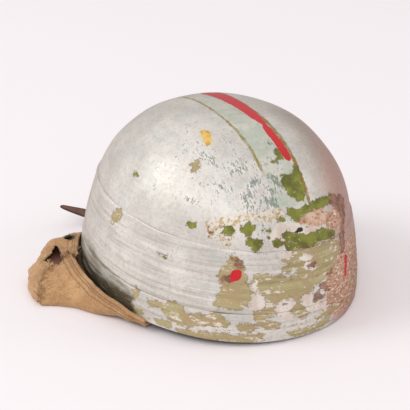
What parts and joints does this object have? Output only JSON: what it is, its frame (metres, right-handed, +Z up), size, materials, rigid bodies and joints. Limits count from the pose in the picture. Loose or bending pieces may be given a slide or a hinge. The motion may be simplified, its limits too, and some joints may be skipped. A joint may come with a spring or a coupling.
{
  "type": "motorcyclist's pudding-basin crash helmet",
  "caption": "Domed hard-shell riding helmet in worn silver paint, lying on its front rim with a canvas ear-and-neck curtain turned out and a buckled leather chin strap.",
  "frame": {"origin": "centre of the whole helmet's underside, on the surface it lies on", "axes": "+Z up; the wearer would face -Y, with the wearer's left at +X"},
  "size_m": [0.3154, 0.3146, 0.1682],
  "materials": {
    "silver_paint": "worn semi-gloss silver paint on a wood-pulp shell",
    "worn_paint": "flaking silver paint over khaki and olive paint on a wound cloth band",
    "canvas": "plain-weave cotton canvas, soiled",
    "leather": "worn brown leather",
    "dark_metal": "darkened metal"
  },
  "bodies": {
    "root": {"shell": "silver_paint", "side_band": "silver_paint", "rim_band": "worn_paint", "right_ear_panel": "canvas", "right_nape_panel": "canvas", "back_nape_panel": "canvas", "left_ear_panel": "canvas", "eyelet": "dark_metal", "long_strap": "leather", "short_strap": "leather", "buckle": "dark_metal"}
  },
  "joints": []
}
